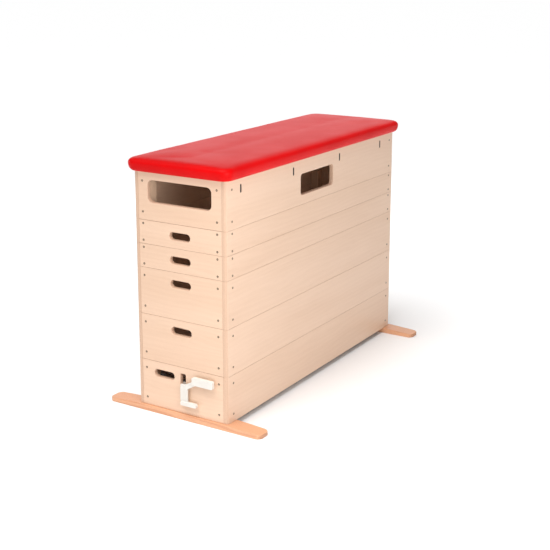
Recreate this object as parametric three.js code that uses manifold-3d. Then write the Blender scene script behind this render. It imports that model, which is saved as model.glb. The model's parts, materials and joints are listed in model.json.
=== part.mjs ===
// A stacked vaulting box: six open wooden sections, the top one carrying an
// upholstered pad, the lowest one standing on two long foot bars and holding a
// retractable pair of transport castors worked by a lift handle in its end.
//
// Millimetres, +Z up. The origin is on the floor under the middle of the box.
// +X runs along the box from the handle end (front) to the rear end, and
// left is +Y, right is -Y.

import * as THREE from 'three';
import { mergeVertices } from 'three/addons/utils/BufferGeometryUtils.js';
import Module from 'manifold-3d';

// ---------------------------------------------------------------- dimensions
const BODY_LENGTH = 1460;        // outer length of every section
const BODY_WIDTH = 450;          // outer width of every section
const PLY = 20;                  // panel thickness
const CORNER_R = 12;             // rounding of the vertical outer edges
const GAP = 0.3;                 // gap kept between touching pieces

const FOOT_THICKNESS = 25;
const FOOT_WIDTH = 76;
const FOOT_LENGTH = 768;
const FOOT_OUTER_X = 741;        // outer face of each foot bar
const FOOT_CORNER_R = 25;
const FOOT_TIP = { thickness: 17, from: 236 };   // the bars thin out beyond the body

const SECTION_HEIGHTS = {        // from the floor upwards
  base: 200, fifth: 200, fourth: 200, third: 100, second: 100, top: 200,
};

const POST = 44;                 // corner post, square
const POST_DROP = 25;            // how far a post reaches into the section below
const POST_TOP_RECESS = 28;      // how far a post stops below its section's rim
const POST_TAPER = 3;

const GRIP_WIDTH = 101;          // stadium-shaped grip slots in the end panels
const GRIP_HEIGHT = 31;
const GRIP_BELOW_RIM = 49.5;      // slot centre below the rim of its section
const BASE_GRIP_Y = 91;          // the front base grip sits beside the handle

const END_OPENING = { width: 311, height: 91.5, bottom: 76, r: 22 };
const SIDE_OPENING = { x: -20, width: 283, height: 91, bottom: 42.5, r: 14 };
const SIDE_SLOT = { width: 10, height: 35, bottom: 139, xs: [-625, -223, 181, 585] };

const HANDLE_SLOT = { y0: -17, y1: 9, z0: 68, z1: 197, r: 6 };

const PAD_LENGTH = 1516;         // over the bulge of the sides
const PAD_WIDTH = 506;
const PAD_HEIGHT = 62;           // deck board, foam and cover together
const PAD_CORNER_R = 40;
const COVER = 3;                 // cover thickness
const HEM_LIFT = 1;              // the hem sits this far above the rim of the top section
const DECK = 18;
const DECK_INSET = 24;           // the deck board stops this far inside the bulge of the sides

const SHAFT = { x: -590, z: 105, r: 8, half: 193 };
const AXLE = { dx: 70, dz: -67, r: 5 };
const WHEEL = { r: 30, half: 12, y: 145 };
const PIN = { x: -672, z: 115, r: 5 };

// ----------------------------------------------------------------- materials
const mat = (color, roughness, metalness = 0) =>
  new THREE.MeshStandardMaterial({ color, roughness, metalness });
const plywood = mat(0xe9cba6, 0.55);
const hardwood = mat(0xd6b288, 0.6);
const beech = mat(0xe0a46c, 0.55);
const leather = mat(0xd40d0d, 0.45);
const foam = mat(0xe6dcc0, 0.95);
const enamel = mat(0xe6e6e2, 0.4, 0.2);
const zinc = mat(0xb4b8bc, 0.35, 0.9);
const rubber = mat(0x2b2c2e, 0.8);

// ------------------------------------------------------------ solid modelling
const wasm = await Module();
wasm.setup();

function toSolid(geometry) {
  const g = geometry.clone();
  g.deleteAttribute('normal');
  g.deleteAttribute('uv');
  const m = mergeVertices(g, 1e-4);
  const verts = new Float32Array(m.attributes.position.array);
  const tris = new Uint32Array(m.index.array);
  let volume = 0;
  for (let i = 0; i < tris.length; i += 3) {
    const [a, b, c] = [tris[i] * 3, tris[i + 1] * 3, tris[i + 2] * 3];
    volume += verts[a] * (verts[b + 1] * verts[c + 2] - verts[b + 2] * verts[c + 1])
      - verts[a + 1] * (verts[b] * verts[c + 2] - verts[b + 2] * verts[c])
      + verts[a + 2] * (verts[b] * verts[c + 1] - verts[b + 1] * verts[c]);
  }
  if (volume < 0) {
    for (let i = 0; i < tris.length; i += 3) {
      [tris[i + 1], tris[i + 2]] = [tris[i + 2], tris[i + 1]];
    }
  }
  return new wasm.Manifold(new wasm.Mesh({ numProp: 3, vertProperties: verts, triVerts: tris }));
}

function toGeometry(solid) {
  const m = solid.getMesh();
  const g = new THREE.BufferGeometry();
  g.setAttribute('position', new THREE.BufferAttribute(new Float32Array(m.vertProperties), 3));
  g.setIndex(new THREE.BufferAttribute(new Uint32Array(m.triVerts), 1));
  g.computeVertexNormals();
  return g;
}

const union = (first, ...rest) => rest.reduce((a, b) => a.add(b), first);
const cut = (first, ...rest) => rest.reduce((a, b) => a.subtract(b), first);

// A box between two corners.
function block(x0, x1, y0, y1, z0, z1) {
  const g = new THREE.BoxGeometry(x1 - x0, y1 - y0, z1 - z0);
  g.translate((x0 + x1) / 2, (y0 + y1) / 2, (z0 + z1) / 2);
  return toSolid(g);
}

// A rounded rectangle outline between two corners.
function roundedRect(u0, u1, v0, v1, r) {
  const s = new THREE.Shape();
  s.moveTo(u0 + r, v0);
  s.lineTo(u1 - r, v0);
  s.absarc(u1 - r, v0 + r, r, -Math.PI / 2, 0);
  s.lineTo(u1, v1 - r);
  s.absarc(u1 - r, v1 - r, r, 0, Math.PI / 2);
  s.lineTo(u0 + r, v1);
  s.absarc(u0 + r, v1 - r, r, Math.PI / 2, Math.PI);
  s.lineTo(u0, v0 + r);
  s.absarc(u0 + r, v0 + r, r, Math.PI, Math.PI * 1.5);
  return s;
}

// Extrusions of an outline: along X (outline in Y, Z), along Y (outline in X, Z)
// and along Z (outline in X, Y).
const ALONG_X = new THREE.Matrix4().makeBasis(
  new THREE.Vector3(0, 1, 0), new THREE.Vector3(0, 0, 1), new THREE.Vector3(1, 0, 0));
function alongX(shape, x0, x1, segments = 6) {
  const g = new THREE.ExtrudeGeometry(shape, { depth: x1 - x0, bevelEnabled: false, curveSegments: segments });
  g.applyMatrix4(ALONG_X);
  g.translate(x0, 0, 0);
  return toSolid(g);
}
function alongY(shape, y0, y1, segments = 6) {
  const g = new THREE.ExtrudeGeometry(shape, { depth: y1 - y0, bevelEnabled: false, curveSegments: segments });
  g.rotateX(Math.PI / 2);
  g.translate(0, y1, 0);
  return toSolid(g);
}
function alongZ(shape, z0, z1, segments = 6) {
  const g = new THREE.ExtrudeGeometry(shape, { depth: z1 - z0, bevelEnabled: false, curveSegments: segments });
  g.translate(0, 0, z0);
  return toSolid(g);
}

// A cylinder along Y.
function rodY(x, z, r, y0, y1, sides = 24) {
  const g = new THREE.CylinderGeometry(r, r, y1 - y0, sides);
  g.translate(x, (y0 + y1) / 2, z);
  return toSolid(g);
}

// A straight outline through a list of points.
function outline(points) {
  const s = new THREE.Shape();
  points.forEach(([u, v], i) => (i ? s.lineTo(u, v) : s.moveTo(u, v)));
  s.closePath();
  return s;
}

// ------------------------------------------------------------------ assembly
const box = new THREE.Group();
box.name = 'vaulting_box';
function piece(name, solid, material, parent = box) {
  const mesh = new THREE.Mesh(toGeometry(solid), material);
  mesh.name = name;
  parent.add(mesh);
  return mesh;
}

const HX = BODY_LENGTH / 2;
const HY = BODY_WIDTH / 2;
const INNER_X = HX - PLY;        // inner face of the end panels
const INNER_Y = HY - PLY;        // inner face of the side panels

// End panel, upright, held between the two side panels. side is -1 front, +1 rear.
function endPanel(side, z0, z1, openings) {
  const [x0, x1] = side < 0 ? [-HX, -INNER_X] : [INNER_X, HX];
  let solid = block(x0, x1, -INNER_Y + GAP, INNER_Y - GAP, z0, z1);
  for (const o of openings) solid = cut(solid, alongX(o, x0 - 5, x1 + 5));
  return solid;
}

// Side panel, running the full length, its outer vertical edges rounded. side is -1
// right, +1 left. Each opening is an outline with the number of segments in its corners.
function sidePanel(side, z0, z1, openings) {
  const r = CORNER_R;
  const s = new THREE.Shape();
  s.moveTo(-HX, INNER_Y);
  s.lineTo(HX, INNER_Y);
  s.lineTo(HX, HY - r);
  s.absarc(HX - r, HY - r, r, 0, Math.PI / 2);
  s.lineTo(-HX + r, HY);
  s.absarc(-HX + r, HY - r, r, Math.PI / 2, Math.PI);
  s.closePath();
  const g = new THREE.ExtrudeGeometry(s, { depth: z1 - z0, bevelEnabled: false, curveSegments: 5 });
  g.translate(0, 0, z0);
  if (side < 0) g.rotateZ(Math.PI);
  let solid = toSolid(g);
  for (const [o, segments] of openings) {
    solid = cut(solid, side < 0 ? alongY(o, -HY - 5, -INNER_Y + 5, segments) : alongY(o, INNER_Y - 5, HY + 5, segments));
  }
  return solid;
}

// Corner post: square, its lower end tapering where it drops into the section below.
function cornerPost(sx, sy, zBottom, zShoulder, zTop) {
  const xo = sx * (INNER_X - GAP), xi = sx * (INNER_X - GAP - POST);
  const yo = sy * (INNER_Y - GAP), yi = sy * (INNER_Y - GAP - POST);
  const t = zShoulder > zBottom ? POST_TAPER : 0;
  const ring = (d, z) => [
    [xo - sx * d, yo - sy * d, z], [xi + sx * d, yo - sy * d, z],
    [xi + sx * d, yi + sy * d, z], [xo - sx * d, yi + sy * d, z]];
  const rings = t ? [ring(t, zBottom), ring(0, zShoulder), ring(0, zTop)] : [ring(0, zBottom), ring(0, zTop)];
  return loft(rings);
}

// Closed body through a stack of equal rings of points, with flat ends.
function loft(rings) {
  const n = rings[0].length;
  const pos = [];
  rings.forEach((r) => r.forEach((p) => pos.push(...p)));
  const idx = [];
  for (let k = 0; k + 1 < rings.length; k++) {
    for (let i = 0; i < n; i++) {
      const a = k * n + i, b = k * n + (i + 1) % n, c = a + n, d = b + n;
      idx.push(a, b, d, a, d, c);
    }
  }
  const last = (rings.length - 1) * n;
  for (let i = 1; i + 1 < n; i++) {
    idx.push(0, i + 1, i);
    idx.push(last, last + i, last + i + 1);
  }
  const g = new THREE.BufferGeometry();
  g.setAttribute('position', new THREE.BufferAttribute(new Float32Array(pos), 3));
  g.setIndex(idx);
  return toSolid(g);
}

const stadium = (cu, cv, w, h) => roundedRect(cu - w / 2, cu + w / 2, cv - h / 2, cv + h / 2, h / 2 - 0.01);

let z = FOOT_THICKNESS;
for (const [section, height] of Object.entries(SECTION_HEIGHTS)) {
  const z0 = z + GAP, z1 = z + height - GAP;
  const gripZ = z + height - GRIP_BELOW_RIM;
  const group = new THREE.Group();
  group.name = `${section}_section`;
  box.add(group);

  let frontOpenings, rearOpenings, sideOpenings = [];
  if (section === 'top') {
    const o = roundedRect(-END_OPENING.width / 2, END_OPENING.width / 2,
      z + END_OPENING.bottom, z + END_OPENING.bottom + END_OPENING.height, END_OPENING.r);
    frontOpenings = [o];
    rearOpenings = [o];
    sideOpenings = [
      [roundedRect(SIDE_OPENING.x - SIDE_OPENING.width / 2, SIDE_OPENING.x + SIDE_OPENING.width / 2,
        z + SIDE_OPENING.bottom, z + SIDE_OPENING.bottom + SIDE_OPENING.height, SIDE_OPENING.r), 6],
      ...SIDE_SLOT.xs.map((x) => [roundedRect(x - SIDE_SLOT.width / 2, x + SIDE_SLOT.width / 2,
        z + SIDE_SLOT.bottom, z + SIDE_SLOT.bottom + SIDE_SLOT.height, 4.5), 2]),
    ];
  } else if (section === 'base') {
    frontOpenings = [
      stadium(BASE_GRIP_Y, gripZ, GRIP_WIDTH, GRIP_HEIGHT),
      roundedRect(HANDLE_SLOT.y0, HANDLE_SLOT.y1, HANDLE_SLOT.z0, HANDLE_SLOT.z1, HANDLE_SLOT.r),
    ];
    rearOpenings = [stadium(0, gripZ, GRIP_WIDTH, GRIP_HEIGHT)];
  } else {
    const o = stadium(0, height < 150 ? z + height / 2 : gripZ, GRIP_WIDTH, GRIP_HEIGHT);
    frontOpenings = [o];
    rearOpenings = [o];
  }
  piece(`${section}_front_end_panel`, endPanel(-1, z0, z1, frontOpenings), plywood, group);
  piece(`${section}_rear_end_panel`, endPanel(1, z0, z1, rearOpenings), plywood, group);
  piece(`${section}_left_side_panel`, sidePanel(1, z0, z1, sideOpenings), plywood, group);
  piece(`${section}_right_side_panel`, sidePanel(-1, z0, z1, sideOpenings), plywood, group);

  const isBase = section === 'base';
  const zBottom = isBase ? z0 : z - POST_DROP;
  const zTop = section === 'top' ? z1 : z + height - POST_TOP_RECESS;
  for (const [end, sx] of [['front', -1], ['rear', 1]]) {
    for (const [flank, sy] of [['left', 1], ['right', -1]]) {
      piece(`${section}_${end}_${flank}_post`, cornerPost(sx, sy, zBottom, isBase ? zBottom : z, zTop), hardwood, group);
    }
  }
  z += height;
}
const RIM = z;                   // top of the wooden sections

// ------------------------------------------------------------------ foot bars
for (const [end, sx] of [['front', -1], ['rear', 1]]) {
  const x0 = Math.min(sx * FOOT_OUTER_X, sx * (FOOT_OUTER_X - FOOT_WIDTH));
  const half = FOOT_LENGTH / 2;
  const bar = alongZ(roundedRect(x0, x0 + FOOT_WIDTH, -half, half, FOOT_CORNER_R), 0, FOOT_THICKNESS, 5);
  const tapered = alongX(outline([[-half - 1, 0], [half + 1, 0], [half + 1, FOOT_TIP.thickness],
    [FOOT_TIP.from, FOOT_THICKNESS], [-FOOT_TIP.from, FOOT_THICKNESS], [-half - 1, FOOT_TIP.thickness]]), x0 - 1, x0 + FOOT_WIDTH + 1);
  piece(`${end}_foot_bar`, bar.intersect(tapered), beech);
}

// ------------------------------------------------------------------------ pad
// A ring of the pad's outline, moved in by inset, at height zz.
function padRing(inset, zz, segments = 5) {
  const hx = PAD_LENGTH / 2 - inset, hy = PAD_WIDTH / 2 - inset;
  const r = Math.max(PAD_CORNER_R - inset, 6);
  const pts = [];
  [[hx - r, hy - r, 0], [-hx + r, hy - r, 90], [-hx + r, -hy + r, 180], [hx - r, -hy + r, 270]].forEach(([cx, cy, a0]) => {
    for (let i = 0; i <= segments; i++) {
      const a = THREE.MathUtils.degToRad(a0 + (90 * i) / segments);
      pts.push([cx + r * Math.cos(a), cy + r * Math.sin(a), zz]);
    }
  });
  return pts;
}
// Inset and height of the cover from its hem to the middle of the crown.
const profile = [[16, HEM_LIFT], [11, 3.2], [6.2, 8.5], [2.6, 16], [0.6, 25], [0, 33], [1, 40], [4.8, 46.8], [12, 52.2], [25, 56.2],
  [46, 58.6], [85, 60.1], [145, 61.2], [215, PAD_HEIGHT]];
const inside = [[COVER + 18.5, -10], [COVER + 18.5, HEM_LIFT], [COVER + 14.5, 3.6], [COVER + 9.8, 5.6], [COVER + 5.7, 10.1], [COVER + 2.4, 17],
  [COVER + 0.6, 25.5], [COVER, 32.9], [COVER + 0.8, 39], [COVER + 4, 44.8], [COVER + 10.3, 49.5], [COVER + 22.6, 53.2], [COVER + 43.2, 55.6],
  [COVER + 82.1, 57.1], [COVER + 142.1, 58.2], [COVER + 210, 59]];
// the foam laps down over the edge of the deck board
const filling = [[COVER + 12.5, 6.6], [COVER + 7.6, 10.6], [COVER + 3.7, 17.3], [COVER + 1.8, 25.5], [COVER + 1.2, 32.7], [COVER + 2, 38.2],
  [COVER + 5.2, 43.6], [COVER + 11.5, 48.3], [COVER + 23.8, 52], [COVER + 44.4, 54.4], [COVER + 83.3, 55.9], [COVER + 143.3, 57], [COVER + 208, 57.8]];
const toRings = (list) => loft(list.map(([i, h]) => padRing(i, RIM + h)));
piece('pad_cover', cut(toRings(profile), toRings(inside)), leather);
piece('pad_deck_board', toRings([[DECK_INSET, GAP], [DECK_INSET, GAP + DECK]]), plywood);
piece('pad_foam_core', cut(toRings(filling), toRings([[DECK_INSET - 0.8, -10], [DECK_INSET - 0.8, GAP + DECK + 0.6]])), foam);

// ------------------------------------------------- lift handle and castor crank
// The handle slides up and down in the slot of the base front panel. Its pin
// works in the fork of the crank, which swings the two castors down.
const PLATE_X0 = -HX - 16, PLATE_X1 = -HX - 8;      // face plate stands off the panel
const facePlate = alongX(roundedRect(-36, -1, 72, 160, 5), PLATE_X0, PLATE_X1, 3);
const toe = alongX(roundedRect(-82, -4, 70, 87, 5), PLATE_X0 - 7, PLATE_X1, 3);
const link = alongX(outline([[-20, 142], [-36, 142], [-84, 170], [-84, 180], [-62, 180], [-20, 158]]), PLATE_X0, PLATE_X1);
const tread = alongX(roundedRect(-166, -64, 169, 202, 6), PLATE_X0 - 9, PLATE_X1, 3);
const stem = block(PLATE_X1 - 1, -INNER_X + 5, -14, 6, 86, 142);
const flange = block(-INNER_X + GAP, -INNER_X + 5.3, -38, 20, 80, 154);
const lug = block(-INNER_X + 5, PIN.x + 9, -22, -14, 100, 130);
const pin = rodY(PIN.x, PIN.z, PIN.r, -43, -20, 16);
piece('lift_handle', union(facePlate, toe, link, tread, stem, flange, lug, pin), enamel);

const shaft = rodY(SHAFT.x, SHAFT.z, SHAFT.r, -SHAFT.half, SHAFT.half, 24);
const axleX = SHAFT.x + AXLE.dx, axleZ = SHAFT.z + AXLE.dz;
const forkX = SHAFT.x - 104;
const fork = cut(
  alongY(outline([
    [SHAFT.x + 16, SHAFT.z - 14], [SHAFT.x + 16, SHAFT.z + 14], [SHAFT.x - 40, PIN.z + 16],
    [forkX, PIN.z + 16], [forkX, PIN.z - 16], [SHAFT.x - 40, PIN.z - 18]]), -38, -30),
  block(forkX - 5, SHAFT.x - 72, -45, -25, PIN.z - PIN.r - 2, PIN.z + PIN.r + 2));
function wheelArm(y0, y1) {
  const dx = AXLE.dx, dz = AXLE.dz, len = Math.hypot(dx, dz);
  const nx = -dz / len * 13, nz = dx / len * 13;    // half width of the arm
  const ex = dx / len * 12, ez = dz / len * 12;
  return alongY(outline([
    [SHAFT.x + nx - ex, SHAFT.z + nz - ez], [SHAFT.x - nx - ex, SHAFT.z - nz - ez],
    [axleX - nx + ex * 0.3, axleZ - nz + ez * 0.3], [axleX - nx * 0.5 + ex, axleZ - nz * 0.5 + ez],
    [axleX + nx * 0.5 + ex, axleZ + nz * 0.5 + ez], [axleX + nx + ex * 0.3, axleZ + nz + ez * 0.3]]), y0, y1);
}
const crankParts = [shaft, fork];
for (const s of [-1, 1]) {
  const span = (a, b) => [Math.min(s * a, s * b), Math.max(s * a, s * b)];
  crankParts.push(wheelArm(...span(WHEEL.y - WHEEL.half - 9.5, WHEEL.y - WHEEL.half - 1.5)));
  crankParts.push(rodY(axleX, axleZ, AXLE.r, ...span(WHEEL.y - WHEEL.half - 5, WHEEL.y + WHEEL.half + 5), 16));
  crankParts.push(rodY(axleX, axleZ, 8.5, ...span(WHEEL.y + WHEEL.half + 1.5, WHEEL.y + WHEEL.half + 5), 16));
}
piece('castor_crank', union(...crankParts), zinc);

for (const [flank, s] of [['left', 1], ['right', -1]]) {
  const b = AXLE.r + 0.4, r = WHEEL.r, h = WHEEL.half;
  const ring = [[b, -h], [14, -h], [16, -h + 3], [r - 9, -h + 3], [r - 7, -h], [r - 3, -h], [r, -h + 3],
    [r, h - 3], [r - 3, h], [r - 7, h], [r - 9, h - 3], [16, h - 3], [14, h], [b, h], [b, -h]];
  const g = new THREE.LatheGeometry(ring.map(([u, v]) => new THREE.Vector2(u, v)), 24);
  g.translate(axleX, s * WHEEL.y, axleZ);
  piece(`${flank}_castor_wheel`, toSolid(g), rubber);

  const span = (a, c) => [Math.min(s * a, s * c), Math.max(s * a, s * c)];
  const plate = alongY(roundedRect(SHAFT.x - 42, SHAFT.x + 42, SHAFT.z - 26, SHAFT.z + 26, 8), ...span(INNER_Y - GAP - 4, INNER_Y - GAP), 3);
  const boss = rodY(SHAFT.x, SHAFT.z, 17, ...span(INNER_Y - 28, INNER_Y - GAP - 2), 24);
  const bore = rodY(SHAFT.x, SHAFT.z, SHAFT.r + 0.4, ...span(INNER_Y - 40, INNER_Y - 8), 24);
  piece(`${flank}_shaft_bracket`, cut(union(plate, boss), bore), zinc);
}

export default box;
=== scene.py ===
import json
import math
import random

import bmesh
import bpy
import numpy as np
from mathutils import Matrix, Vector, noise


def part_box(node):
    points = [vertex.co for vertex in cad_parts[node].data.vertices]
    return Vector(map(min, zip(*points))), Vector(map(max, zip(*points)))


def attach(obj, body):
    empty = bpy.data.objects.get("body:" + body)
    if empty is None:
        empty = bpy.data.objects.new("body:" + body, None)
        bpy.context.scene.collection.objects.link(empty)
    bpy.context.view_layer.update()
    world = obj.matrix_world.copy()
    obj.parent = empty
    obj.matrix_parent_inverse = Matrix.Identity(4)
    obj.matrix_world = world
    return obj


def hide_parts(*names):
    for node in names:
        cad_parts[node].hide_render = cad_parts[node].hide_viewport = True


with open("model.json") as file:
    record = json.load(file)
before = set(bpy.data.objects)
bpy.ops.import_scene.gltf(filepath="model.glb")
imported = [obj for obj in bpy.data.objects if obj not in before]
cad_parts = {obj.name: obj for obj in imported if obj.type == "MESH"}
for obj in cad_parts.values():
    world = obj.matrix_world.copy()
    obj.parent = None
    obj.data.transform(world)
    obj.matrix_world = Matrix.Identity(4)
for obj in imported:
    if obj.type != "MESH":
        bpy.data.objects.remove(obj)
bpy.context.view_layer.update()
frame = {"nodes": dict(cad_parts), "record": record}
NODES = frame["nodes"]
BODIES = frame["record"]["behaviour"]["bodies"]
NODE_BODY = {n: b for b, ns in BODIES.items() for n in ns}
scene = bpy.context.scene
rng = random.Random(41)

SECTIONS = ["base", "fifth", "fourth", "third", "second", "top"]
PANEL_LO, PANEL_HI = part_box("top_front_end_panel")
FRONT_X = PANEL_LO.x                       # outer face of the front end panels
HALF_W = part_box("top_left_side_panel")[1].y   # half the body width
RIM_Z = PANEL_HI.z                         # where the pad starts


# ------------------------------------------------------------------ node helpers
class Tree:
    """Short calls for building one material's node tree."""

    def __init__(self, name):
        self.material = bpy.data.materials.new(name)
        self.material.use_nodes = True
        self.nt = self.material.node_tree
        self.nt.nodes.clear()
        self.out = self.nt.nodes.new("ShaderNodeOutputMaterial")
        self.bsdf = self.nt.nodes.new("ShaderNodeBsdfPrincipled")
        self.nt.links.new(self.bsdf.outputs[0], self.out.inputs[0])
        self.tc = self.nt.nodes.new("ShaderNodeTexCoord")
        sep = self.nt.nodes.new("ShaderNodeSeparateXYZ")
        self.nt.links.new(self.tc.outputs["Object"], sep.inputs[0])
        self.x, self.y, self.z = sep.outputs
        self.seed = self.attribute("seed")

    def put(self, socket, value):
        if isinstance(value, bpy.types.NodeSocket):
            self.nt.links.new(value, socket)
        elif value is not None:
            socket.default_value = value

    def attribute(self, name):
        n = self.nt.nodes.new("ShaderNodeAttribute")
        n.attribute_name = name
        return n.outputs["Fac"]

    def math(self, op, a, b=None, c=None, clamp=False):
        n = self.nt.nodes.new("ShaderNodeMath")
        n.operation = op
        n.use_clamp = clamp
        for s, v in zip(n.inputs, (a, b, c)):
            self.put(s, v)
        return n.outputs[0]

    def vec(self, x, y, z):
        n = self.nt.nodes.new("ShaderNodeCombineXYZ")
        for s, v in zip(n.inputs, (x, y, z)):
            self.put(s, v)
        return n.outputs[0]

    def noise(self, vector, scale=1.0, detail=4.0, roughness=0.55, distortion=0.0, dims="3D", w=None):
        n = self.nt.nodes.new("ShaderNodeTexNoise")
        n.noise_dimensions = dims
        if w is not None:
            self.put(n.inputs["W"], w)
        self.put(n.inputs["Vector"], vector)
        n.inputs["Scale"].default_value = scale
        n.inputs["Detail"].default_value = detail
        n.inputs["Roughness"].default_value = roughness
        n.inputs["Distortion"].default_value = distortion
        return n.outputs["Fac"]

    def voronoi(self, vector, scale, feature="F1", smooth=None, randomness=1.0):
        n = self.nt.nodes.new("ShaderNodeTexVoronoi")
        n.feature = feature
        self.put(n.inputs["Vector"], vector)
        n.inputs["Scale"].default_value = scale
        n.inputs["Randomness"].default_value = randomness
        if smooth is not None:
            n.inputs["Smoothness"].default_value = smooth
        return n.outputs["Distance"]

    def ramp(self, fac, stops, interpolation="LINEAR"):
        n = self.nt.nodes.new("ShaderNodeValToRGB")
        n.color_ramp.interpolation = interpolation
        el = n.color_ramp.elements
        while len(el) > 1:
            el.remove(el[-1])
        el[0].position = stops[0][0]
        el[0].color = colour(stops[0][1])
        for p, c in stops[1:]:
            e = el.new(p)
            e.color = colour(c)
        self.put(n.inputs[0], fac)
        return n.outputs["Color"]

    def step(self, value, low, high, out0=0.0, out1=1.0):
        n = self.nt.nodes.new("ShaderNodeMapRange")
        n.interpolation_type = "SMOOTHSTEP"
        self.put(n.inputs[0], value)
        for s, v in zip(n.inputs[1:5], (low, high, out0, out1)):
            s.default_value = v
        return n.outputs[0]

    def mix(self, fac, a, b, blend="MIX"):
        n = self.nt.nodes.new("ShaderNodeMix")
        n.data_type = "RGBA"
        n.blend_type = blend
        self.put(n.inputs[0], fac)
        self.put(n.inputs[6], colour(a))
        self.put(n.inputs[7], colour(b))
        return n.outputs[2]

    def bump(self, height, strength, distance, normal=None):
        n = self.nt.nodes.new("ShaderNodeBump")
        n.inputs["Strength"].default_value = strength
        n.inputs["Distance"].default_value = distance
        self.put(n.inputs["Height"], height)
        self.put(n.inputs["Normal"], normal)
        return n.outputs[0]

    def normal_axis(self, axis):
        """The size of the surface normal's part along one of the object's own axes."""
        sep = self.nt.nodes.new("ShaderNodeSeparateXYZ")
        self.nt.links.new(self.tc.outputs["Normal"], sep.inputs[0])
        return self.math("ABSOLUTE", sep.outputs["xyz".index(axis)])

    def set(self, **values):
        for k, v in values.items():
            self.put(self.bsdf.inputs[k.replace("_", " ")], v)
        return self.material


def colour(c):
    if isinstance(c, bpy.types.NodeSocket) or c is None:
        return c
    if isinstance(c, (int, float)):
        return (c, c, c, 1.0)
    return tuple(c) + ((1.0,) if len(c) == 3 else ())


# ---------------------------------------------------------------------- materials
def plywood(name, axis, light, dark):
    """Lacquered birch plywood. axis is the panel's thickness; the face grain runs along the panel's length."""
    t = Tree(name)
    along, across, thick = {"x": (t.y, t.z, t.x), "y": (t.x, t.z, t.y), "z": (t.x, t.y, t.z)}[axis]
    s7 = t.math("MULTIPLY", t.seed, 7.31)
    s3 = t.math("MULTIPLY", t.seed, 3.17)
    u = t.math("ADD", along, s7)
    v = t.math("ADD", across, s3)
    # broad rotary-cut figure, warped, then contour lines from it
    warp = t.noise(t.vec(t.math("MULTIPLY", u, 1.1), t.math("MULTIPLY", v, 5.0), s7), 1.0, 3.0, 0.5, 0.6)
    field = t.math("MULTIPLY_ADD", warp, 0.11, v)
    rings = t.math("SINE", t.math("MULTIPLY", field, 2 * math.pi / 0.021))
    rings = t.step(rings, -1.0, 1.0)
    broad = t.noise(t.vec(t.math("MULTIPLY", u, 0.9), t.math("MULTIPLY", v, 9.0), s3), 1.0, 3.0, 0.55, 0.3)
    fine = t.noise(t.vec(t.math("MULTIPLY", u, 7.0), t.math("MULTIPLY", v, 260.0), s7), 1.0, 5.0, 0.6)
    fleck = t.noise(t.vec(t.math("MULTIPLY", u, 55.0), t.math("MULTIPLY", v, 900.0), s3), 1.0, 2.0, 0.5)
    fleck = t.step(fleck, 0.60, 0.74)
    tone = t.math("MULTIPLY", broad, 0.62)
    tone = t.math("MULTIPLY_ADD", rings, 0.07, tone)
    tone = t.math("MULTIPLY_ADD", fine, 0.34, tone)
    tone = t.math("MULTIPLY_ADD", t.seed, 0.10, tone)
    face = t.mix(t.step(tone, 0.30, 0.95), light, dark)
    face = t.mix(t.math("MULTIPLY", fleck, 0.22), face, tuple(c * 0.72 for c in dark))
    # the layered edge
    layer = t.math("SINE", t.math("MULTIPLY", thick, 2 * math.pi / 0.0028))
    grainy = t.noise(t.vec(t.math("MULTIPLY", t.x, 420.0), t.math("MULTIPLY", t.y, 420.0), t.math("MULTIPLY", t.z, 420.0)), 1.0, 3.0, 0.6)
    layer = t.step(t.math("MULTIPLY_ADD", t.math("SUBTRACT", grainy, 0.5), 1.3, layer), -0.35, 0.35)
    edge = t.mix(layer, tuple(a * b for a, b in zip(dark, (0.76, 0.70, 0.68))), tuple(a * b for a, b in zip(light, (0.94, 0.93, 0.92))))
    edge = t.mix(t.math("MULTIPLY", t.step(grainy, 0.55, 0.75), 0.35), edge, tuple(c * 0.45 for c in dark))
    facing = t.step(t.normal_axis(axis), 0.90, 0.975)
    col = t.mix(facing, edge, face)
    height = t.math("MULTIPLY_ADD", fine, 0.5, t.math("MULTIPLY", fleck, -0.35))
    rough = t.math("MULTIPLY_ADD", broad, 0.10, t.math("MULTIPLY_ADD", facing, -0.14, 0.50))
    return t.set(Base_Color=col, Roughness=rough, Normal=t.bump(height, 0.22, 0.00025), Coat_Weight=0.18, Coat_Roughness=0.24)


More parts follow.
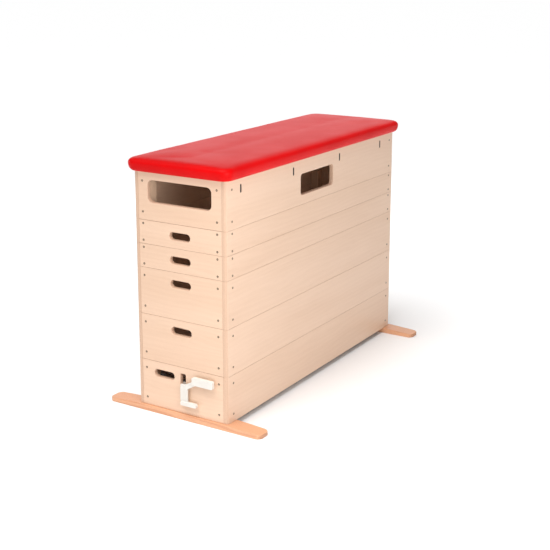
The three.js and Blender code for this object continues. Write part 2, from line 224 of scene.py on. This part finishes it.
def solid_wood(name, grain, light, dark, pith, ring=0.0045):
    """Solid timber: growth rings round a far pith line, so faces and ends agree, with short dark rays."""
    t = Tree(name)
    coords = {"x": (t.x, t.y, t.z), "y": (t.y, t.z, t.x), "z": (t.z, t.x, t.y)}[grain]
    u, a, b = coords
    s = t.math("MULTIPLY", t.seed, 5.7)
    u = t.math("ADD", u, s)
    wob = t.noise(t.vec(t.math("MULTIPLY", u, 2.2), t.math("MULTIPLY", a, 14.0), t.math("MULTIPLY", b, 14.0)), 1.0, 3.0, 0.5)
    da = t.math("ADD", a, pith[0])
    db = t.math("ADD", b, pith[1])
    rad = t.math("SQRT", t.math("ADD", t.math("MULTIPLY", da, da), t.math("MULTIPLY", db, db)))
    rad = t.math("MULTIPLY_ADD", wob, 0.016, rad)
    rings = t.math("SINE", t.math("MULTIPLY", rad, 2 * math.pi / ring))
    rings = t.math("POWER", t.step(rings, -1.0, 1.0), 1.6)
    fibre = t.noise(t.vec(t.math("MULTIPLY", u, 9.0), t.math("MULTIPLY", a, 330.0), t.math("MULTIPLY", b, 330.0)), 1.0, 5.0, 0.6)
    ray = t.step(t.noise(t.vec(t.math("MULTIPLY", u, 130.0), t.math("MULTIPLY", a, 800.0), t.math("MULTIPLY", b, 800.0)), 1.0, 1.0, 0.5), 0.60, 0.72)
    broad = t.noise(t.vec(t.math("MULTIPLY", u, 1.3), t.math("MULTIPLY", a, 10.0), t.math("MULTIPLY", b, 10.0)), 1.0, 2.0, 0.5)
    tone = t.math("MULTIPLY", rings, 0.34)
    tone = t.math("MULTIPLY_ADD", fibre, 0.36, tone)
    tone = t.math("MULTIPLY_ADD", broad, 0.42, tone)
    tone = t.math("MULTIPLY_ADD", t.seed, 0.08, tone)
    col = t.mix(t.step(tone, 0.22, 0.98), light, dark)
    col = t.mix(t.math("MULTIPLY", ray, 0.38), col, tuple(c * 0.62 for c in dark))
    ends = t.step(t.normal_axis(grain), 0.55, 0.85)
    col = t.mix(t.math("MULTIPLY", ends, 0.45), col, tuple(c * 0.60 for c in dark))
    height = t.math("MULTIPLY_ADD", fibre, 0.6, t.math("MULTIPLY", ray, -0.4))
    rough = t.math("MULTIPLY_ADD", ends, 0.12, t.math("MULTIPLY_ADD", broad, 0.10, 0.38))
    return t.set(Base_Color=col, Roughness=rough, Normal=t.bump(height, 0.25, 0.0003), Coat_Weight=0.15, Coat_Roughness=0.25)


def red_leather():
    t = Tree("red_leather")
    p = t.tc.outputs["Object"]
    cells = t.voronoi(p, 620.0, "SMOOTH_F1", 0.35)
    creases = t.voronoi(p, 310.0, "F1")
    wrinkle = t.noise(p, 150.0, 4.0, 0.6, 0.4)
    cloud = t.noise(p, 4.5, 4.0, 0.55, 0.2)
    scuff = t.noise(t.vec(t.math("MULTIPLY", t.x, 16.0), t.math("MULTIPLY", t.y, 90.0), t.math("MULTIPLY", t.z, 60.0)), 1.0, 5.0, 0.65)
    up = t.normal_axis("z")
    col = t.mix(t.step(cloud, 0.30, 0.72), (0.76, 0.002, 0.003), (0.68, 0.002, 0.003))
    col = t.mix(t.math("MULTIPLY", t.step(cells, 0.30, 0.75), 0.30), col, (0.36, 0.002, 0.003))
    worn = t.math("MULTIPLY", t.step(scuff, 0.56, 0.74), t.step(up, 0.75, 0.98))
    # painted shade: faces that point straight up are mixed towards a darker red, so the lit top reads darker than
    # the sides
    col = t.mix(t.math("MULTIPLY", t.step(up, 0.90, 0.995), 0.55), col, (0.60, 0.006, 0.008))
    col = t.mix(t.math("MULTIPLY", worn, 0.10), col, (0.78, 0.06, 0.05))
    h = t.math("MULTIPLY_ADD", cells, -0.9, t.math("MULTIPLY", wrinkle, 0.5))
    h = t.math("MULTIPLY_ADD", creases, -0.35, h)
    rough = t.math("MULTIPLY_ADD", worn, 0.08, t.math("MULTIPLY_ADD", cloud, 0.12, 0.34))
    return t.set(Base_Color=col, Roughness=rough, Normal=t.bump(h, 0.30, 0.0003), IOR=1.19, Specular_IOR_Level=0.5)


def foam_material():
    t = Tree("foam")
    p = t.tc.outputs["Object"]
    cells = t.voronoi(p, 520.0, "F1")
    col = t.mix(t.step(cells, 0.1, 0.6), (0.70, 0.62, 0.45), (0.84, 0.78, 0.62))
    return t.set(Base_Color=col, Roughness=0.95, Normal=t.bump(cells, 0.6, 0.0008))


def enamel_material():
    t = Tree("white_enamel")
    p = t.tc.outputs["Object"]
    peel = t.noise(p, 900.0, 2.0, 0.5)
    cloud = t.noise(p, 25.0, 3.0, 0.5)
    scratch = t.step(t.noise(t.vec(t.math("MULTIPLY", t.y, 90.0), t.math("MULTIPLY", t.z, 900.0), t.math("MULTIPLY", t.x, 90.0)), 1.0, 3.0, 0.6), 0.63, 0.72)
    col = t.mix(t.step(cloud, 0.3, 0.7), (0.80, 0.765, 0.710), (0.74, 0.705, 0.650))
    col = t.mix(t.math("MULTIPLY", scratch, 0.22), col, (0.50, 0.51, 0.52))
    rough = t.math("MULTIPLY_ADD", scratch, 0.15, 0.30)
    return t.set(Base_Color=col, Roughness=rough, Normal=t.bump(peel, 0.15, 0.0002), Specular_IOR_Level=0.5)


def zinc_material():
    t = Tree("zinc_plate")
    p = t.tc.outputs["Object"]
    spangle = t.voronoi(p, 260.0, "F1")
    cloud = t.noise(p, 60.0, 4.0, 0.6)
    col = t.mix(t.step(spangle, 0.1, 0.7), (0.62, 0.64, 0.66), (0.50, 0.52, 0.55))
    col = t.mix(t.math("MULTIPLY", t.step(cloud, 0.55, 0.8), 0.4), col, (0.46, 0.43, 0.36))
    rough = t.math("MULTIPLY_ADD", cloud, 0.22, 0.24)
    return t.set(Base_Color=col, Roughness=rough, Metallic=1.0, Normal=t.bump(cloud, 0.12, 0.0003))


def screw_material():
    t = Tree("screw_zinc")
    p = t.tc.outputs["Object"]
    cloud = t.noise(p, 700.0, 3.0, 0.6)
    col = t.mix(cloud, (0.115, 0.085, 0.060), (0.23, 0.175, 0.125))
    return t.set(Base_Color=col, Roughness=0.42, Metallic=0.85, Normal=t.bump(cloud, 0.1, 0.0001))


def rubber_material():
    t = Tree("tyre_rubber")
    p = t.tc.outputs["Object"]
    dust = t.noise(p, 120.0, 5.0, 0.65)
    col = t.mix(t.step(dust, 0.5, 0.8), (0.035, 0.035, 0.037), (0.11, 0.105, 0.10))
    rough = t.math("MULTIPLY_ADD", dust, 0.2, 0.62)
    return t.set(Base_Color=col, Roughness=rough, Normal=t.bump(dust, 0.3, 0.0004))


def hub_material():
    t = Tree("hub_plastic")
    p = t.tc.outputs["Object"]
    grain = t.noise(p, 1400.0, 2.0, 0.5)
    cloud = t.noise(p, 40.0, 3.0, 0.5)
    col = t.mix(cloud, (0.30, 0.31, 0.32), (0.22, 0.225, 0.235))
    return t.set(Base_Color=col, Roughness=0.48, Normal=t.bump(grain, 0.25, 0.0002))


BIRCH_LIGHT = (0.835, 0.590, 0.430)
BIRCH_DARK = (0.745, 0.500, 0.345)
PLY = {a: plywood("birch_ply_" + a, a, BIRCH_LIGHT, BIRCH_DARK) for a in "xyz"}
HARDWOOD = solid_wood("post_hardwood", "z", (0.84, 0.605, 0.435), (0.70, 0.475, 0.315), (0.31, 0.22))
BEECH = solid_wood("foot_beech", "y", (0.785, 0.415, 0.235), (0.63, 0.285, 0.150), (0.16, 0.05), 0.006)
LEATHER, FOAM, ENAMEL, ZINC, SCREW, RUBBER, HUB = (
    red_leather(), foam_material(), enamel_material(), zinc_material(), screw_material(), rubber_material(), hub_material())


# ------------------------------------------------------------------- mesh helpers
def add_object(name, mesh, material, body, replaces=(), smooth=True, seed=None):
    obj = bpy.data.objects.new(name, mesh)
    scene.collection.objects.link(obj)
    mesh.materials.clear()
    mesh.materials.append(material)
    for p in mesh.polygons:
        p.use_smooth = smooth
    value = rng.random() if seed is None else seed
    attribute = mesh.attributes.new("seed", "FLOAT", "POINT")
    attribute.data.foreach_set("value", [value] * len(mesh.vertices))
    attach(obj, body)
    if replaces:
        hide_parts(*replaces)
    return obj


def clean_copy(node):
    """A bmesh of a CAD node with its shared corners merged and its flat faces joined."""
    bm = bmesh.new()
    bm.from_mesh(NODES[node].data)
    bmesh.ops.remove_doubles(bm, verts=bm.verts, dist=2e-5)
    bmesh.ops.dissolve_limit(bm, angle_limit=math.radians(0.6), verts=bm.verts, edges=bm.edges)
    return bm


def refined(node, material, bevel=0.0014, segments=3, angle=35, name=None):
    """A piece with a CAD node's exact outline and rounded edges, standing for it."""
    bm = clean_copy(node)
    mesh = bpy.data.meshes.new(node + "_mesh")
    bm.to_mesh(mesh)
    bm.free()
    obj = add_object(name or node.replace("_panel", "_board") + "_made", mesh, material, NODE_BODY[node], (node,))
    m = obj.modifiers.new("edges", "BEVEL")
    m.width = bevel
    m.segments = segments
    m.limit_method = "ANGLE"
    m.angle_limit = math.radians(angle)
    m.use_clamp_overlap = False
    m.harden_normals = True
    w = obj.modifiers.new("normals", "WEIGHTED_NORMAL")
    w.keep_sharp = True
    return obj


def panel(node, material, axis, edge=0.0007, routed=0.0030, where=lambda co: True):
    """A plywood panel: its own edges lightly broken, the edges of its openings routed over on both faces."""
    lo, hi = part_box(node)
    bm = clean_copy(node)
    weight = bm.edges.layers.float.new("bevel_weight_edge")
    across = [i for i in range(3) if i != "xyz".index(axis)]
    thick = "xyz".index(axis)
    for e in bm.edges:
        if len(e.link_faces) != 2 or e.calc_face_angle(0.0) < math.radians(35):
            continue
        inside = all(lo[i] + 0.006 < v.co[i] < hi[i] - 0.006 for v in e.verts for i in across)
        on_face = abs(e.verts[0].co[thick] - e.verts[1].co[thick]) < 1e-5
        if inside:
            e[weight] = (1.0 if all(where(v.co) for v in e.verts) else 0.0005 / routed) if on_face else 0.0
        else:
            e[weight] = edge / routed
    mesh = bpy.data.meshes.new(node + "_mesh")
    bm.to_mesh(mesh)
    bm.free()
    obj = add_object(node.replace("_panel", "_board") + "_made", mesh, material, NODE_BODY[node], (node,))
    m = obj.modifiers.new("edges", "BEVEL")
    m.width = routed
    m.segments = 3
    m.limit_method = "WEIGHT"
    m.use_clamp_overlap = False
    m.harden_normals = True
    w = obj.modifiers.new("normals", "WEIGHTED_NORMAL")
    w.keep_sharp = True
    return obj


def mesh_from(name, verts, faces):
    mesh = bpy.data.meshes.new(name)
    mesh.from_pydata([tuple(v) for v in verts], [], faces)
    mesh.validate()
    mesh.update()
    return mesh


def lathe(profile, steps, place):
    """Vertices and faces of a closed profile [(radius, along)] turned round an axis; place maps (radius, angle, along) to a point."""
    verts, faces = [], []
    n = len(profile)
    for k in range(steps):
        a = 2 * math.pi * k / steps
        verts += [place(r, a, h) for r, h in profile]
    for k in range(steps):
        for i in range(n):
            p, q = k * n + i, k * n + (i + 1) % n
            r, s = ((k + 1) % steps) * n + (i + 1) % n, ((k + 1) % steps) * n + i
            faces.append((p, q, r, s))
    return verts, faces


def recalc(mesh):
    bm = bmesh.new()
    bm.from_mesh(mesh)
    bmesh.ops.recalc_face_normals(bm, faces=bm.faces)
    bm.to_mesh(mesh)
    bm.free()


# -------------------------------------------------------- camera, light and floor
camera_data = bpy.data.cameras.new("camera")
camera_data.sensor_width = 36.0
camera_data.lens = 1106.96 * 36.0 / 550.0
camera_data.shift_y = -(275.0 - 200.0) / 550.0
camera_data.clip_end = 200.0
camera = bpy.data.objects.new("camera", camera_data)
scene.collection.objects.link(camera)
yaw, pitch = math.radians(58.10), math.radians(12.56)
look = Vector((math.sin(yaw) * math.cos(pitch), math.cos(yaw) * math.cos(pitch), -math.sin(pitch)))
camera.location = (-4.15786, -2.58176, 1.87993)
camera.rotation_mode = "QUATERNION"
camera.rotation_quaternion = look.to_track_quat("-Z", "Y")
scene.camera = camera

floor_tree = Tree("floor")
floor_material = floor_tree.set(Base_Color=(0.96, 0.96, 0.96, 1.0), Roughness=0.9)
bpy.ops.mesh.primitive_plane_add(size=80.0, location=(0.0, 0.0, 0.0))
floor = bpy.context.object
floor.name = "floor"
floor.data.materials.append(floor_material)

world = bpy.data.worlds.new("studio")
scene.world = world
world.use_nodes = True
wt = world.node_tree
ambient = wt.nodes["Background"]
ambient.inputs[0].default_value = (1.0, 1.0, 1.0, 1.0)
ambient.inputs[1].default_value = 0.29
backdrop = wt.nodes.new("ShaderNodeBackground")
backdrop.inputs[0].default_value = (1.0, 1.0, 1.0, 1.0)
backdrop.inputs[1].default_value = 1.05
rays = wt.nodes.new("ShaderNodeLightPath")
choose = wt.nodes.new("ShaderNodeMixShader")
wt.links.new(rays.outputs["Is Camera Ray"], choose.inputs[0])
wt.links.new(ambient.outputs[0], choose.inputs[1])
wt.links.new(backdrop.outputs[0], choose.inputs[2])
wt.links.new(choose.outputs[0], wt.nodes["World Output"].inputs[0])


def area_light(name, position, target, size, power):
    data = bpy.data.lights.new(name, "AREA")
    data.shape = "RECTANGLE"
    data.size, data.size_y = size
    data.energy = power
    light = bpy.data.objects.new(name, data)
    scene.collection.objects.link(light)
    light.location = position
    light.rotation_mode = "QUATERNION"
    light.rotation_quaternion = (Vector(target) - Vector(position)).to_track_quat("-Z", "Y")
    light.visible_camera = False
    return light


sun_data = bpy.data.lights.new("sun", "SUN")
sun_data.energy = 2.70
sun_data.angle = math.radians(50)
sun = bpy.data.objects.new("sun", sun_data)
scene.collection.objects.link(sun)
sun.rotation_mode = "QUATERNION"
sun.rotation_quaternion = Vector((0.38, -0.04, -0.92)).to_track_quat("-Z", "Y")
area_light("key", (-1.45, -1.45, 1.15), (-0.55, -0.1, 0.6), (0.9, 0.9), 14.0)
area_light("back", (3.4, 2.1, 1.9), (0.4, 0.0, 0.7), (4.0, 2.2), 26.0)
scene.view_settings.view_transform = "Standard"
scene.view_settings.look = "None"


# ------------------------------------------------------------------------ timber
for section in SECTIONS:
    for end in ("front", "rear"):
        panel(f"{section}_{end}_end_panel", PLY["x"], "x", 0.0017)
        for flank in ("left", "right"):
            refined(f"{section}_{end}_{flank}_post", HARDWOOD, 0.0012, 2)
    for flank in ("left", "right"):
        panel(f"{section}_{flank}_side_panel", PLY["y"], "y", 0.0004, where=lambda co: -0.19 < co.x < 0.15)
for end in ("front", "rear"):
    refined(f"{end}_foot_bar", BEECH, 0.0032, 4)
refined("pad_deck_board", PLY["z"], 0.0010, 2)


# ---------------------------------------------------------------- painted shade in the thin slots
def slot_shade_ring(cx, cz, inset, y):
    """A rounded upright outline the size of one of the thin slots, less inset."""
    w, h, r = SLOT_W / 2 - inset, SLOT_H / 2 - inset, SLOT_W / 2 - 0.0005 - inset
    pts = []
    for sx, sz, a0 in ((1, 1, 0), (-1, 1, 90), (-1, -1, 180), (1, -1, 270)):
        for i in range(7):
            a = math.radians(a0 + 15 * i)
            pts.append((cx + sx * (w - r) + r * math.cos(a), y, cz + sz * (h - r) + r * math.sin(a)))
    return pts


SLOT_W, SLOT_H, SLOT_LIFT = 0.010, 0.035, 0.139
SLOT_XS = (-0.625, -0.223, 0.181, 0.585)
# painted shade: a dark rubber ring lines each thin slot in the top section's sides, so the slots look as dark as
# shade makes them
for flank, sy in (("left", 1), ("right", -1)):
    lo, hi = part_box(f"top_{flank}_side_panel")
    outer, inner = (hi.y, lo.y) if sy > 0 else (lo.y, hi.y)
    verts, faces = [], []
    for cx in SLOT_XS:
        cz = lo.z + SLOT_LIFT + SLOT_H / 2
        # outside wall, rounded mouth, inside wall, back edge
        rings = [(0.0001, inner), (0.0001, outer - sy * 0.0006), (0.0004, outer - sy * 0.0002), (0.0009, outer - sy * 0.0001), (0.0013, outer - sy * 0.0006), (0.0014, inner)]
        base, n = len(verts), 28
        for inset, y in rings:
            verts += slot_shade_ring(cx, cz, inset, y)
        for j in range(len(rings)):
            for k in range(n):
                a, b = base + j * n + k, base + j * n + (k + 1) % n
                c, d = base + ((j + 1) % len(rings)) * n + (k + 1) % n, base + ((j + 1) % len(rings)) * n + k
                faces.append((a, b, c, d))
    mesh = mesh_from(f"top_{flank}_slot_liners_mesh", verts, faces)
    recalc(mesh)
    add_object(f"top_{flank}_slot_painted_shade", mesh, RUBBER, "top_section")


# ------------------------------------------------------------------- wood screws
def screw_head(centre, outward):
    """One raised countersunk head with a cross recess, its back just inside the panel."""
    up = Vector((0, 0, 1))
    side = up.cross(outward).normalized()
    turn = rng.uniform(0, math.pi / 2)
    rings = [0.0, 0.0007, 0.0012, 0.0018, 0.0024, 0.0027, 0.0034, 0.0041, 0.0046, 0.0047]
    heights = [0.00085, 0.00085, 0.00084, 0.00082, 0.00079, 0.00077, 0.00070, 0.00056, 0.00030, -0.0004]
    steps = 24
    verts, faces = [centre + outward * (heights[0] - 0.0014)], []
    for j, (r, h) in enumerate(zip(rings[1:], heights[1:])):
        for k in range(steps):
            a = 2 * math.pi * k / steps + turn
            lobe = abs(((k * 4 / steps) + 0.5) % 1.0 - 0.5) * 2
            inside = r < 0.00255 and (r < 0.00095 or lobe < 0.36)
            d = -0.0014 if inside else 0.0
            verts.append(centre + side * (r * math.cos(a)) + up * (r * math.sin(a)) + outward * (h + d))
    for k in range(steps):
        faces.append((0, 1 + k, 1 + (k + 1) % steps))
    for j in range(len(rings) - 2):
        for k in range(steps):
            a, b = 1 + j * steps + k, 1 + j * steps + (k + 1) % steps
            faces.append((a, a + steps, b + steps, b))
    last = 1 + (len(rings) - 2) * steps
    faces.append(tuple(last + k for k in range(steps))[::-1])
    return verts, faces


for section in SECTIONS:
    lo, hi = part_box(f"{section}_front_end_panel")
    height = hi.z - lo.z
    inset = (0.0342, 0.0336) if height > 0.15 else (0.0142, 0.0150)
    if section == "top":
        inset = (0.0380, 0.0337)
    post_lo, post_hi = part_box(f"{section}_front_left_post")
    side_x, end_y = (post_lo.x + post_hi.x) / 2, (post_lo.y + post_hi.y) / 2
    verts, faces = [], []
    for zz in (hi.z - inset[0], lo.z + inset[1]):
        for sx in (-1, 1):
            for sy in (-1, 1):
                for centre, outward in (
                        (Vector((sx * -FRONT_X, sy * end_y, zz)), Vector((sx, 0, 0))),
                        (Vector((sx * -side_x, sy * HALF_W, zz)), Vector((0, sy, 0)))):
                    v, f = screw_head(centre, outward)
                    base = len(verts)
                    verts += v
                    faces += [tuple(base + i for i in q) for q in f]
    mesh = mesh_from(section + "_screws_mesh", verts, faces)
    recalc(mesh)
    add_object(section + "_wood_screws", mesh, SCREW, section + "_section")


# ------------------------------------------------------------------ transport gear
refined("lift_handle", ENAMEL, 0.0014, 3, 30)
refined("castor_crank", ZINC, 0.0008, 2, 40)
for flank in ("left", "right"):
    refined(f"{flank}_shaft_bracket", ZINC, 0.0008, 2, 40)
    node = f"{flank}_castor_wheel"
    lo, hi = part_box(node)
    c, r, h = (lo + hi) / 2, (hi.x - lo.x) / 2, (hi.y - lo.y) / 2
    place = lambda rad, a, along: (c.x + rad * math.cos(a), c.y + along, c.z + rad * math.sin(a))
    tyre = [(r * 0.74, -h * 0.86), (r * 0.86, -h), (r * 0.93, -h * 0.97), (r * 0.975, -h * 0.82), (r * 0.995, -h * 0.5), (r, 0.0),
            (r * 0.995, h * 0.5), (r * 0.975, h * 0.82), (r * 0.93, h * 0.97), (r * 0.86, h), (r * 0.74, h * 0.86)]
    v, f = lathe(tyre, 64, place)
    mesh = mesh_from(node + "_tyre_mesh", v, f)
    recalc(mesh)
    add_object(f"{flank}_castor_tyre", mesh, RUBBER, NODE_BODY[node], (node,))
    bore = 0.0056
    hub = [(bore, -h * 0.96), (0.0125, -h * 0.96), (0.0135, -h * 0.9), (0.0142, -h * 0.55), (r * 0.62, -h * 0.50), (r * 0.68, -h * 0.8), (r * 0.735, -h * 0.84),
           (r * 0.735, h * 0.84), (r * 0.68, h * 0.8), (r * 0.62, h * 0.50), (0.0142, h * 0.55), (0.0135, h * 0.9), (0.0125, h * 0.96), (bore, h * 0.96)]
    v, f = lathe(hub, 48, place)
    mesh = mesh_from(node + "_hub_mesh", v, f)
    recalc(mesh)
    add_object(f"{flank}_castor_hub", mesh, HUB, NODE_BODY[node], (node,))


# ---------------------------------------------------------------------------- pad
pad_lo, pad_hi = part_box("pad_cover")
HX, HY = (pad_hi.x - pad_lo.x) / 2, (pad_hi.y - pad_lo.y) / 2
PAD_H = pad_hi.z - pad_lo.z


def pad_ring(inset, z, corner):
    """Points round a rounded rectangle, the same count and spacing on every ring."""
    hx, hy = HX - inset, HY - inset
    r = min(corner - 0.35 * min(inset, 0.02) + 0.75 * max(inset - 0.02, 0.0), 0.96 * hy)
    pts = []
    quarter = 9
    nx, ny = 84, 26
    for cx, cy, a0, nxt in ((hx - r, hy - r, 0, nx), (-hx + r, hy - r, 90, ny), (-hx + r, -hy + r, 180, nx), (hx - r, -hy + r, 270, ny)):
        for i in range(quarter + 1):
            a = math.radians(a0 + 90.0 * i / quarter)
            pts.append((cx + r * math.cos(a), cy + r * math.sin(a), z))
        p = pts[-1]
        if a0 == 0:
            q = (-hx + r, hy, z)
        elif a0 == 90:
            q = (-hx, -hy + r, z)
        elif a0 == 180:
            q = (hx - r, -hy, z)
        else:
            q = (hx, hy - r, z)
        for i in range(1, nxt):
            f = i / nxt
            pts.append((p[0] + (q[0] - p[0]) * f, p[1] + (q[1] - p[1]) * f, z))
    return pts


# inset and height of the finished cover above the rim, from its hem to the middle of the crown
PROFILE = [(0.016, 0.0010), (0.011, 0.0032), (0.0062, 0.0085), (0.0026, 0.016), (0.0006, 0.025), (0.0, 0.033), (0.001, 0.040), (0.0048, 0.0468),
           (0.012, 0.0522), (0.025, 0.0562), (0.046, 0.0586), (0.085, 0.0601), (0.145, 0.0612), (0.215, 0.0620), (0.249, 0.0620)]


def smooth_through(points, per_span):
    """Points on a smooth curve through a list of points."""
    ext = [points[0]] + points + [points[-1]]
    out = []
    for k in range(1, len(ext) - 2):
        p0, p1, p2, p3 = (Vector(q) for q in ext[k - 1:k + 3])
        n = per_span[k - 1]
        for i in range(n):
            t = i / n
            out.append(0.5 * (2 * p1 + (p2 - p0) * t + (2 * p0 - 5 * p1 + 4 * p2 - p3) * t * t + (3 * p1 - p0 - 3 * p2 + p3) * t ** 3))
    out.append(Vector(points[-1]))
    return out


def build_pad():
    corner = 0.042
    rings = []
    z0 = RIM_Z
    # the hem turned in beside the deck board, then the bulging side, the rounded edge and the top
    hem = [(0.0222, 0.0011), (0.0192, 0.0009)]
    band, edge, top = [], [], []
    for q in smooth_through(PROFILE, [2, 2, 3, 3, 2, 2, 2, 2, 2, 2, 3, 4, 4, 4]):
        inset, z = q
        # before it is stuffed the cover is a little smaller than when finished
        slack = min(max((inset - 0.004) / 0.07, 0.0), 1.0) if z > 0.034 else 0.0
        band.append((inset, z - 0.0027 * slack * slack * (3 - 2 * slack)))
    for i, z in hem + band + edge + top:
        rings.append(pad_ring(i, z0 + z, corner))
    n = len(rings[0])
    verts = [p for r in rings for p in r]
    faces = []
    for j in range(len(rings) - 1):
        for k in range(n):
            a, b = j * n + k, j * n + (k + 1) % n
            faces.append((a, b, b + n, a + n))
    # close the narrow strip that is left along the middle
    last = (len(rings) - 1) * n
    faces.append(tuple(last + k for k in range(n)))
    return verts, faces, n, len(hem), len(rings)


verts, faces, COLUMNS, HEM_ROWS, ROWS = build_pad()
pad_mesh = bpy.data.meshes.new("pad_cover_mesh")
bm = bmesh.new()
bv = [bm.verts.new(v) for v in verts]
for f in faces[:-1]:
    bm.faces.new([bv[i] for i in f])
cap = bm.faces.new([bv[i] for i in faces[-1]])
bm.verts.ensure_lookup_table()
bmesh.ops.recalc_face_normals(bm, faces=bm.faces)
# the middle strip as quads: join each column of the last ring to the one across from it
bmesh.ops.delete(bm, geom=[cap], context="FACES_ONLY")
ring = bv[-COLUMNS:]
quarter, nx, ny = 10, 84, 26
starts = [0, quarter + nx - 1, 2 * quarter + nx + ny - 2, 3 * quarter + 2 * nx + ny - 3]
# walk the long sides from +x to -x on +y, and back on -y
upper = ring[starts[0] + quarter - 1: starts[1] + 1]
lower = ring[starts[2] + quarter - 1: starts[3] + 1][::-1]
for i in range(len(upper) - 1):
    bm.faces.new([upper[i], upper[i + 1], lower[i + 1], lower[i]])
left = ring[starts[1]: starts[2] + quarter]
right = ring[starts[3]:] + ring[:starts[0] + quarter]
for loop in (left, right):
    bm.faces.new(loop)
bmesh.ops.recalc_face_normals(bm, faces=bm.faces)
bm.to_mesh(pad_mesh)
bm.free()
pad_rest = np.array([v.co for v in pad_mesh.vertices], float)

outward = np.array([v.normal for v in pad_mesh.vertices], float)
if outward[np.argmax(pad_rest[:, 2])][2] < 0:
    outward = -outward

pad = bpy.data.objects.new("pad_cover_made", pad_mesh)
scene.collection.objects.link(pad)
# the cover swells a little against its turned-under hem, which is held
pins = pad.vertex_groups.new(name="hem")
z_rel = pad_rest[:, 2] - RIM_Z
for i, z in enumerate(z_rel):
    w = 1.0 if z < 0.006 else max(0.0, 1.0 - (z - 0.006) / 0.008) * 0.8
    if w > 0:
        pins.add([i], w, "REPLACE")
cloth = pad.modifiers.new("cloth", "CLOTH")
st = cloth.settings
st.vertex_group_mass = "hem"
st.quality = 7
st.mass = 0.5
st.tension_stiffness = 40
st.compression_stiffness = 40
st.shear_stiffness = 25
# the linear model: the angular one moves this mesh by up to 21 mm with no force on it at all
st.bending_model = "LINEAR"
st.bending_stiffness = 4.0
st.use_pressure = True
st.uniform_pressure_force = 0.115
st.effector_weights.gravity = 0.0
st.pin_stiffness = 1.0
cloth.collision_settings.use_collision = False
scene.frame_start = 1
scene.frame_end = 16
cloth.point_cache.frame_start = 1
cloth.point_cache.frame_end = 16
for f in range(1, 17):
    scene.frame_set(f)
dg = bpy.context.evaluated_depsgraph_get()
got = pad.evaluated_get(dg).to_mesh()
moved = np.array([v.co for v in got.vertices], float)
pad.evaluated_get(dg).to_mesh_clear()
pad.modifiers.remove(cloth)
scene.frame_set(1)
# the swell along the normals, in or out, evened out over its neighbours; the hem stays put
swell = np.einsum("ij,ij->i", moved - pad_rest, outward)
print("pad swell max mm", round(float(swell.max()) * 1000, 2), "mean", round(float(swell.mean()) * 1000, 2))
# a guard only: the pressure is low enough that the swell stays inside it
cap_m = 0.0055
swell = np.clip(swell, -cap_m, cap_m)
# evened out over about 12 mm of real surface, each point weighted by the area it stands for;
# the inner rings are packed tightly at the ends, so evening out by grid position would crease them
area = np.zeros(len(pad_rest))
for p in pad_mesh.polygons:
    for i in p.vertices:
        area[i] += p.area / len(p.vertices)
even = np.zeros(len(pad_rest))
for k in range(0, len(pad_rest), 512):
    d2 = ((pad_rest[k:k + 512, None, :] - pad_rest[None, :, :]) ** 2).sum(2)
    w = np.exp(-d2 / (2 * 0.012 ** 2)) * area[None, :]
    even[k:k + 512] = (w @ swell) / w.sum(1)
even[:(HEM_ROWS + 2) * COLUMNS] = 0.0
swell = even
for v, q in zip(pad_mesh.vertices, pad_rest + outward * swell[:, None]):
    v.co = q
scene.frame_set(1)

# gathers where the cover is folded round each corner towards the hem
co = np.array([v.co for v in pad_mesh.vertices], float)
for i in range(len(co)):
    x, y, z = co[i]
    zr = (z - RIM_Z) / PAD_H
    cx, cy = math.copysign(HX - 0.042, x), math.copysign(HY - 0.042, y)
    dx, dy = x - cx, y - cy
    if abs(x) > HX - 0.044 and abs(y) > HY - 0.044 and zr < 0.72:
        a = math.atan2(abs(dy), abs(dx))
        fade = math.sin(min(max(a / (math.pi / 2), 0.0), 1.0) * math.pi)
        low = max(0.0, 1.0 - zr / 0.72) ** 1.5
        d = 0.0011 * math.sin(a * 4 * 4 + 0.6) * fade * low
        rr = math.hypot(dx, dy)
        if rr > 1e-6:
            co[i][0] += dx / rr * d
            co[i][1] += dy / rr * d
for i in range(len(co)):
    x, y, z = co[i]
    ripple = noise.noise(Vector((x * 11.0, y * 11.0, z * 14.0))) * 0.00055 + noise.noise(Vector((x * 31.0, y * 31.0, z * 22.0))) * 0.00022
    hold = min(max((z - RIM_Z - 0.004) / 0.02, 0.0), 1.0)
    co[i] += outward[i] * ripple * hold
for v, p in zip(pad_mesh.vertices, co):
    v.co = p
pad_mesh.update()

for p in pad_mesh.polygons:
    p.use_smooth = True
pad_mesh.materials.append(LEATHER)
attribute = pad_mesh.attributes.new("seed", "FLOAT", "POINT")
thick = pad.modifiers.new("thickness", "SOLIDIFY")
thick.thickness = 0.0022
thick.offset = -1.0
sub = pad.modifiers.new("smooth", "SUBSURF")
sub.levels = 1
sub.render_levels = 1
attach(pad, NODE_BODY["pad_cover"])
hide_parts("pad_cover")

# the foam, a little inside the cover
foam_bm = clean_copy("pad_foam_core")
deck_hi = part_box("pad_deck_board")[1]
deck_top = deck_hi.z + 0.0008
for v in foam_bm.verts:
    if v.co.z > deck_top:
        v.co.z = deck_top + (v.co.z - deck_top) * 0.90
    for axis in (0, 1):
        if abs(v.co[axis]) > deck_hi[axis] + 0.0015:
            v.co[axis] -= math.copysign(0.0032, v.co[axis])
foam_mesh = bpy.data.meshes.new("pad_foam_mesh")
foam_bm.to_mesh(foam_mesh)
foam_bm.free()
foam = add_object("pad_foam_made", foam_mesh, FOAM, NODE_BODY["pad_foam_core"], ("pad_foam_core",))
m = foam.modifiers.new("normals", "WEIGHTED_NORMAL")
